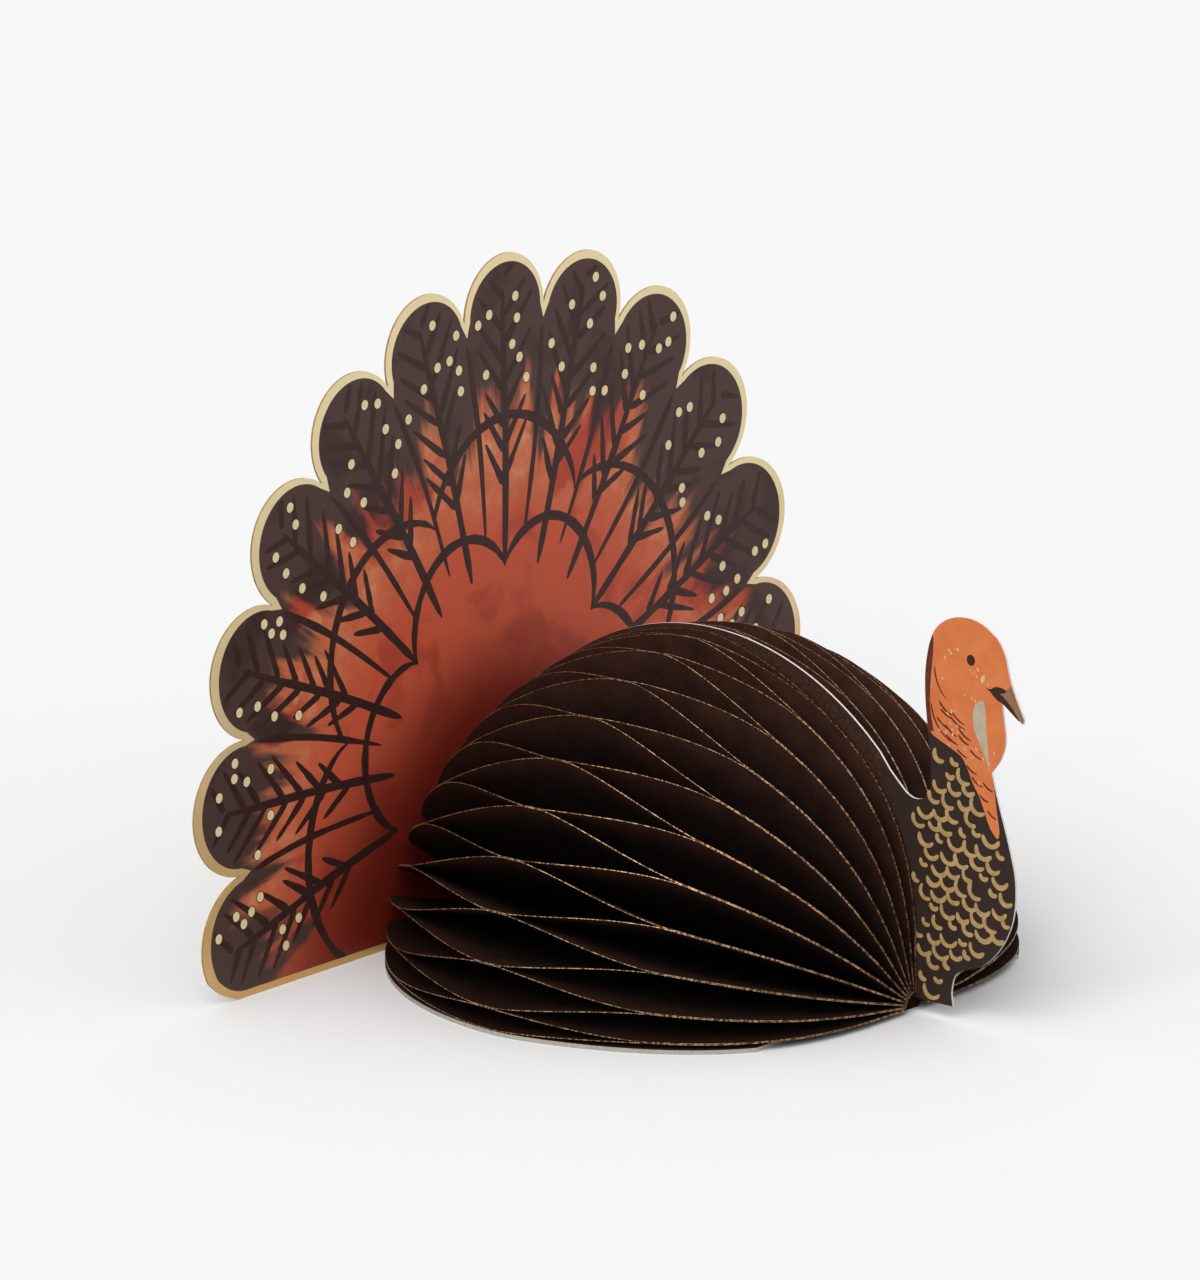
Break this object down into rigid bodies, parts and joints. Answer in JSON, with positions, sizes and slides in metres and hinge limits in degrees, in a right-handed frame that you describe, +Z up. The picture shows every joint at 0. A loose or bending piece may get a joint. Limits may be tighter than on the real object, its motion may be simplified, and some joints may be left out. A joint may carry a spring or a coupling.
{
  "type": "honeycomb paper turkey",
  "caption": "Free-standing paper turkey with a fanned honeycomb body, an upright head card and a scalloped tail card that slots on behind.",
  "frame": {"origin": "on the ground under the middle of the whole, in line with the centre card", "axes": "+Z up, head towards -Y, tail towards +Y, the tail card's width along X"},
  "size_m": [0.2502, 0.1916, 0.1833],
  "materials": {
    "printed_card": "satin print",
    "tail_card": "satin print",
    "paper": "matt, gilt edges",
    "greyboard": "matt",
    "glue": "dull"
  },
  "bodies": {
    "card": {"centre_card": "printed_card", "spine_bead": "glue"},
    "tail": {"tail_fan": "tail_card"},
    "board_left": {"board_left": "greyboard"},
    "sheet_left_01": {"sheet_left_01": "paper"},
    "sheet_left_02": {"sheet_left_02": "paper"},
    "sheet_left_03": {"sheet_left_03": "paper"},
    "sheet_left_04": {"sheet_left_04": "paper"},
    "sheet_left_05": {"sheet_left_05": "paper"},
    "sheet_left_06": {"sheet_left_06": "paper"},
    "sheet_left_07": {"sheet_left_07": "paper"},
    "sheet_left_08": {"sheet_left_08": "paper"},
    "sheet_left_09": {"sheet_left_09": "paper"},
    "sheet_left_10": {"sheet_left_10": "paper"},
    "sheet_left_11": {"sheet_left_11": "paper"},
    "sheet_left_12": {"sheet_left_12": "paper"},
    "sheet_left_13": {"sheet_left_13": "paper"},
    "sheet_left_14": {"sheet_left_14": "paper"},
    "sheet_left_15": {"sheet_left_15": "paper"},
    "sheet_left_16": {"sheet_left_16": "paper"},
    "sheet_left_17": {"sheet_left_17": "paper"},
    "sheet_left_18": {"sheet_left_18": "paper"},
    "sheet_left_19": {"sheet_left_19": "paper"},
    "sheet_left_20": {"sheet_left_20": "paper"},
    "sheet_left_21": {"sheet_left_21": "paper"},
    "sheet_left_22": {"sheet_left_22": "paper"},
    "board_right": {"board_right": "greyboard"},
    "sheet_right_01": {"sheet_right_01": "paper"},
    "sheet_right_02": {"sheet_right_02": "paper"},
    "sheet_right_03": {"sheet_right_03": "paper"},
    "sheet_right_04": {"sheet_right_04": "paper"},
    "sheet_right_05": {"sheet_right_05": "paper"},
    "sheet_right_06": {"sheet_right_06": "paper"},
    "sheet_right_07": {"sheet_right_07": "paper"},
    "sheet_right_08": {"sheet_right_08": "paper"},
    "sheet_right_09": {"sheet_right_09": "paper"},
    "sheet_right_10": {"sheet_right_10": "paper"},
    "sheet_right_11": {"sheet_right_11": "paper"},
    "sheet_right_12": {"sheet_right_12": "paper"},
    "sheet_right_13": {"sheet_right_13": "paper"},
    "sheet_right_14": {"sheet_right_14": "paper"},
    "sheet_right_15": {"sheet_right_15": "paper"},
    "sheet_right_16": {"sheet_right_16": "paper"},
    "sheet_right_17": {"sheet_right_17": "paper"},
    "sheet_right_18": {"sheet_right_18": "paper"},
    "sheet_right_19": {"sheet_right_19": "paper"},
    "sheet_right_20": {"sheet_right_20": "paper"},
    "sheet_right_21": {"sheet_right_21": "paper"},
    "sheet_right_22": {"sheet_right_22": "paper"}
  },
  "joints": [
    {"name": "tail_lift", "type": "slide", "parent": "card", "child": "tail", "axis": [0, 0, 1], "range_m": [0, 0.03]},
    {"name": "left_fold", "type": "hinge", "parent": "card", "child": "board_left", "pos_m": [-0.0047, 0, 0.0012], "axis": [0, 1, 0], "range_deg": [0, 86]},
    {"name": "sheet_left_01_fold", "type": "hinge", "parent": "card", "child": "sheet_left_01", "pos_m": [-0.0046, 0, 0.00145], "axis": [0, 1, 0], "range_deg": [0, 85.5], "deforming": ["sheet_left_01"]},
    {"name": "sheet_left_02_fold", "type": "hinge", "parent": "card", "child": "sheet_left_02", "pos_m": [-0.00458, 0, 0.00175], "axis": [0, 1, 0], "range_deg": [0, 83.76], "deforming": ["sheet_left_02"]},
    {"name": "sheet_left_03_fold", "type": "hinge", "parent": "card", "child": "sheet_left_03", "pos_m": [-0.00453, 0, 0.00205], "axis": [0, 1, 0], "range_deg": [0, 80.93], "deforming": ["sheet_left_03"]},
    {"name": "sheet_left_04_fold", "type": "hinge", "parent": "card", "child": "sheet_left_04", "pos_m": [-0.00447, 0, 0.00234], "axis": [0, 1, 0], "range_deg": [0, 77.36], "deforming": ["sheet_left_04"]},
    {"name": "sheet_left_05_fold", "type": "hinge", "parent": "card", "child": "sheet_left_05", "pos_m": [-0.00439, 0, 0.00263], "axis": [0, 1, 0], "range_deg": [0, 73.34], "deforming": ["sheet_left_05"]},
    {"name": "sheet_left_06_fold", "type": "hinge", "parent": "card", "child": "sheet_left_06", "pos_m": [-0.00428, 0, 0.00291], "axis": [0, 1, 0], "range_deg": [0, 69.02], "deforming": ["sheet_left_06"]},
    {"name": "sheet_left_07_fold", "type": "hinge", "parent": "card", "child": "sheet_left_07", "pos_m": [-0.00416, 0, 0.00318], "axis": [0, 1, 0], "range_deg": [0, 64.55], "deforming": ["sheet_left_07"]},
    {"name": "sheet_left_08_fold", "type": "hinge", "parent": "card", "child": "sheet_left_08", "pos_m": [-0.00401, 0, 0.00344], "axis": [0, 1, 0], "range_deg": [0, 59.99], "deforming": ["sheet_left_08"]},
    {"name": "sheet_left_09_fold", "type": "hinge", "parent": "card", "child": "sheet_left_09", "pos_m": [-0.00385, 0, 0.0037], "axis": [0, 1, 0], "range_deg": [0, 55.38], "deforming": ["sheet_left_09"]},
    {"name": "sheet_left_10_fold", "type": "hinge", "parent": "card", "child": "sheet_left_10", "pos_m": [-0.00367, 0, 0.00394], "axis": [0, 1, 0], "range_deg": [0, 50.73], "deforming": ["sheet_left_10"]},
    {"name": "sheet_left_11_fold", "type": "hinge", "parent": "card", "child": "sheet_left_11", "pos_m": [-0.00348, 0, 0.00416], "axis": [0, 1, 0], "range_deg": [0, 46.06], "deforming": ["sheet_left_11"]},
    {"name": "sheet_left_12_fold", "type": "hinge", "parent": "card", "child": "sheet_left_12", "pos_m": [-0.00326, 0, 0.00438], "axis": [0, 1, 0], "range_deg": [0, 41.36], "deforming": ["sheet_left_12"]},
    {"name": "sheet_left_13_fold", "type": "hinge", "parent": "card", "child": "sheet_left_13", "pos_m": [-0.00304, 0, 0.00457], "axis": [0, 1, 0], "range_deg": [0, 36.64], "deforming": ["sheet_left_13"]},
    {"name": "sheet_left_14_fold", "type": "hinge", "parent": "card", "child": "sheet_left_14", "pos_m": [-0.0028, 0, 0.00475], "axis": [0, 1, 0], "range_deg": [0, 31.89], "deforming": ["sheet_left_14"]},
    {"name": "sheet_left_15_fold", "type": "hinge", "parent": "card", "child": "sheet_left_15", "pos_m": [-0.00254, 0, 0.00491], "axis": [0, 1, 0], "range_deg": [0, 27.14], "deforming": ["sheet_left_15"]},
    {"name": "sheet_left_16_fold", "type": "hinge", "parent": "card", "child": "sheet_left_16", "pos_m": [-0.00228, 0, 0.00506], "axis": [0, 1, 0], "range_deg": [0, 22.41], "deforming": ["sheet_left_16"]},
    {"name": "sheet_left_17_fold", "type": "hinge", "parent": "card", "child": "sheet_left_17", "pos_m": [-0.00201, 0, 0.00518], "axis": [0, 1, 0], "range_deg": [0, 17.75], "deforming": ["sheet_left_17"]},
    {"name": "sheet_left_18_fold", "type": "hinge", "parent": "card", "child": "sheet_left_18", "pos_m": [-0.00173, 0, 0.00529], "axis": [0, 1, 0], "range_deg": [0, 13.25], "deforming": ["sheet_left_18"]},
    {"name": "sheet_left_19_fold", "type": "hinge", "parent": "card", "child": "sheet_left_19", "pos_m": [-0.00144, 0, 0.00537], "axis": [0, 1, 0], "range_deg": [0, 9.05], "deforming": ["sheet_left_19"]},
    {"name": "sheet_left_20_fold", "type": "hinge", "parent": "card", "child": "sheet_left_20", "pos_m": [-0.00115, 0, 0.00543], "axis": [0, 1, 0], "range_deg": [0, 5.34], "deforming": ["sheet_left_20"]},
    {"name": "sheet_left_21_fold", "type": "hinge", "parent": "card", "child": "sheet_left_21", "pos_m": [-0.00085, 0, 0.00548], "axis": [0, 1, 0], "range_deg": [0, 2.41], "deforming": ["sheet_left_21"]},
    {"name": "sheet_left_22_fold", "type": "hinge", "parent": "card", "child": "sheet_left_22", "pos_m": [-0.00055, 0, 0.0055], "axis": [0, 1, 0], "range_deg": [0, 0.61], "deforming": ["sheet_left_22"]},
    {"name": "right_fold", "type": "hinge", "parent": "card", "child": "board_right", "pos_m": [0.0047, 0, 0.0012], "axis": [0, -1, 0], "range_deg": [0, 86]},
    {"name": "sheet_right_01_fold", "type": "hinge", "parent": "card", "child": "sheet_right_01", "pos_m": [0.0046, 0, 0.00145], "axis": [0, -1, 0], "range_deg": [0, 85.5], "deforming": ["sheet_right_01"]},
    {"name": "sheet_right_02_fold", "type": "hinge", "parent": "card", "child": "sheet_right_02", "pos_m": [0.00458, 0, 0.00175], "axis": [0, -1, 0], "range_deg": [0, 83.76], "deforming": ["sheet_right_02"]},
    {"name": "sheet_right_03_fold", "type": "hinge", "parent": "card", "child": "sheet_right_03", "pos_m": [0.00453, 0, 0.00205], "axis": [0, -1, 0], "range_deg": [0, 80.93], "deforming": ["sheet_right_03"]},
    {"name": "sheet_right_04_fold", "type": "hinge", "parent": "card", "child": "sheet_right_04", "pos_m": [0.00447, 0, 0.00234], "axis": [0, -1, 0], "range_deg": [0, 77.36], "deforming": ["sheet_right_04"]},
    {"name": "sheet_right_05_fold", "type": "hinge", "parent": "card", "child": "sheet_right_05", "pos_m": [0.00439, 0, 0.00263], "axis": [0, -1, 0], "range_deg": [0, 73.34], "deforming": ["sheet_right_05"]},
    {"name": "sheet_right_06_fold", "type": "hinge", "parent": "card", "child": "sheet_right_06", "pos_m": [0.00428, 0, 0.00291], "axis": [0, -1, 0], "range_deg": [0, 69.02], "deforming": ["sheet_right_06"]},
    {"name": "sheet_right_07_fold", "type": "hinge", "parent": "card", "child": "sheet_right_07", "pos_m": [0.00416, 0, 0.00318], "axis": [0, -1, 0], "range_deg": [0, 64.55], "deforming": ["sheet_right_07"]},
    {"name": "sheet_right_08_fold", "type": "hinge", "parent": "card", "child": "sheet_right_08", "pos_m": [0.00401, 0, 0.00344], "axis": [0, -1, 0], "range_deg": [0, 59.99], "deforming": ["sheet_right_08"]},
    {"name": "sheet_right_09_fold", "type": "hinge", "parent": "card", "child": "sheet_right_09", "pos_m": [0.00385, 0, 0.0037], "axis": [0, -1, 0], "range_deg": [0, 55.38], "deforming": ["sheet_right_09"]},
    {"name": "sheet_right_10_fold", "type": "hinge", "parent": "card", "child": "sheet_right_10", "pos_m": [0.00367, 0, 0.00394], "axis": [0, -1, 0], "range_deg": [0, 50.73], "deforming": ["sheet_right_10"]},
    {"name": "sheet_right_11_fold", "type": "hinge", "parent": "card", "child": "sheet_right_11", "pos_m": [0.00348, 0, 0.00416], "axis": [0, -1, 0], "range_deg": [0, 46.06], "deforming": ["sheet_right_11"]},
    {"name": "sheet_right_12_fold", "type": "hinge", "parent": "card", "child": "sheet_right_12", "pos_m": [0.00326, 0, 0.00438], "axis": [0, -1, 0], "range_deg": [0, 41.36], "deforming": ["sheet_right_12"]},
    {"name": "sheet_right_13_fold", "type": "hinge", "parent": "card", "child": "sheet_right_13", "pos_m": [0.00304, 0, 0.00457], "axis": [0, -1, 0], "range_deg": [0, 36.64], "deforming": ["sheet_right_13"]},
    {"name": "sheet_right_14_fold", "type": "hinge", "parent": "card", "child": "sheet_right_14", "pos_m": [0.0028, 0, 0.00475], "axis": [0, -1, 0], "range_deg": [0, 31.89], "deforming": ["sheet_right_14"]},
    {"name": "sheet_right_15_fold", "type": "hinge", "parent": "card", "child": "sheet_right_15", "pos_m": [0.00254, 0, 0.00491], "axis": [0, -1, 0], "range_deg": [0, 27.14], "deforming": ["sheet_right_15"]},
    {"name": "sheet_right_16_fold", "type": "hinge", "parent": "card", "child": "sheet_right_16", "pos_m": [0.00228, 0, 0.00506], "axis": [0, -1, 0], "range_deg": [0, 22.41], "deforming": ["sheet_right_16"]},
    {"name": "sheet_right_17_fold", "type": "hinge", "parent": "card", "child": "sheet_right_17", "pos_m": [0.00201, 0, 0.00518], "axis": [0, -1, 0], "range_deg": [0, 17.75], "deforming": ["sheet_right_17"]},
    {"name": "sheet_right_18_fold", "type": "hinge", "parent": "card", "child": "sheet_right_18", "pos_m": [0.00173, 0, 0.00529], "axis": [0, -1, 0], "range_deg": [0, 13.25], "deforming": ["sheet_right_18"]},
    {"name": "sheet_right_19_fold", "type": "hinge", "parent": "card", "child": "sheet_right_19", "pos_m": [0.00144, 0, 0.00537], "axis": [0, -1, 0], "range_deg": [0, 9.05], "deforming": ["sheet_right_19"]},
    {"name": "sheet_right_20_fold", "type": "hinge", "parent": "card", "child": "sheet_right_20", "pos_m": [0.00115, 0, 0.00543], "axis": [0, -1, 0], "range_deg": [0, 5.34], "deforming": ["sheet_right_20"]},
    {"name": "sheet_right_21_fold", "type": "hinge", "parent": "card", "child": "sheet_right_21", "pos_m": [0.00085, 0, 0.00548], "axis": [0, -1, 0], "range_deg": [0, 2.41], "deforming": ["sheet_right_21"]},
    {"name": "sheet_right_22_fold", "type": "hinge", "parent": "card", "child": "sheet_right_22", "pos_m": [0.00055, 0, 0.0055], "axis": [0, -1, 0], "range_deg": [0, 0.61], "deforming": ["sheet_right_22"]}
  ],
  "couplings": [
    {"joint": "sheet_left_01_fold", "follows": "left_fold", "ratio": 0.99362},
    {"joint": "sheet_left_02_fold", "follows": "left_fold", "ratio": 0.97335},
    {"joint": "sheet_left_03_fold", "follows": "left_fold", "ratio": 0.94041},
    {"joint": "sheet_left_04_fold", "follows": "left_fold", "ratio": 0.89899},
    {"joint": "sheet_left_05_fold", "follows": "left_fold", "ratio": 0.85215},
    {"joint": "sheet_left_06_fold", "follows": "left_fold", "ratio": 0.80202},
    {"joint": "sheet_left_07_fold", "follows": "left_fold", "ratio": 0.74999},
    {"joint": "sheet_left_08_fold", "follows": "left_fold", "ratio": 0.69694},
    {"joint": "sheet_left_09_fold", "follows": "left_fold", "ratio": 0.64332},
    {"joint": "sheet_left_10_fold", "follows": "left_fold", "ratio": 0.58932},
    {"joint": "sheet_left_11_fold", "follows": "left_fold", "ratio": 0.53501},
    {"joint": "sheet_left_12_fold", "follows": "left_fold", "ratio": 0.48039},
    {"joint": "sheet_left_13_fold", "follows": "left_fold", "ratio": 0.42546},
    {"joint": "sheet_left_14_fold", "follows": "left_fold", "ratio": 0.37028},
    {"joint": "sheet_left_15_fold", "follows": "left_fold", "ratio": 0.315},
    {"joint": "sheet_left_16_fold", "follows": "left_fold", "ratio": 0.25995},
    {"joint": "sheet_left_17_fold", "follows": "left_fold", "ratio": 0.20576},
    {"joint": "sheet_left_18_fold", "follows": "left_fold", "ratio": 0.15346},
    {"joint": "sheet_left_19_fold", "follows": "left_fold", "ratio": 0.10462},
    {"joint": "sheet_left_20_fold", "follows": "left_fold", "ratio": 0.061548},
    {"joint": "sheet_left_21_fold", "follows": "left_fold", "ratio": 0.027429},
    {"joint": "sheet_left_22_fold", "follows": "left_fold", "ratio": 0.006533},
    {"joint": "sheet_right_01_fold", "follows": "right_fold", "ratio": 0.99362},
    {"joint": "sheet_right_02_fold", "follows": "right_fold", "ratio": 0.97335},
    {"joint": "sheet_right_03_fold", "follows": "right_fold", "ratio": 0.94041},
    {"joint": "sheet_right_04_fold", "follows": "right_fold", "ratio": 0.89899},
    {"joint": "sheet_right_05_fold", "follows": "right_fold", "ratio": 0.85215},
    {"joint": "sheet_right_06_fold", "follows": "right_fold", "ratio": 0.80202},
    {"joint": "sheet_right_07_fold", "follows": "right_fold", "ratio": 0.74999},
    {"joint": "sheet_right_08_fold", "follows": "right_fold", "ratio": 0.69694},
    {"joint": "sheet_right_09_fold", "follows": "right_fold", "ratio": 0.64332},
    {"joint": "sheet_right_10_fold", "follows": "right_fold", "ratio": 0.58932},
    {"joint": "sheet_right_11_fold", "follows": "right_fold", "ratio": 0.53501},
    {"joint": "sheet_right_12_fold", "follows": "right_fold", "ratio": 0.48039},
    {"joint": "sheet_right_13_fold", "follows": "right_fold", "ratio": 0.42546},
    {"joint": "sheet_right_14_fold", "follows": "right_fold", "ratio": 0.37028},
    {"joint": "sheet_right_15_fold", "follows": "right_fold", "ratio": 0.315},
    {"joint": "sheet_right_16_fold", "follows": "right_fold", "ratio": 0.25995},
    {"joint": "sheet_right_17_fold", "follows": "right_fold", "ratio": 0.20576},
    {"joint": "sheet_right_18_fold", "follows": "right_fold", "ratio": 0.15346},
    {"joint": "sheet_right_19_fold", "follows": "right_fold", "ratio": 0.10462},
    {"joint": "sheet_right_20_fold", "follows": "right_fold", "ratio": 0.061548},
    {"joint": "sheet_right_21_fold", "follows": "right_fold", "ratio": 0.027429},
    {"joint": "sheet_right_22_fold", "follows": "right_fold", "ratio": 0.006533}
  ]
}
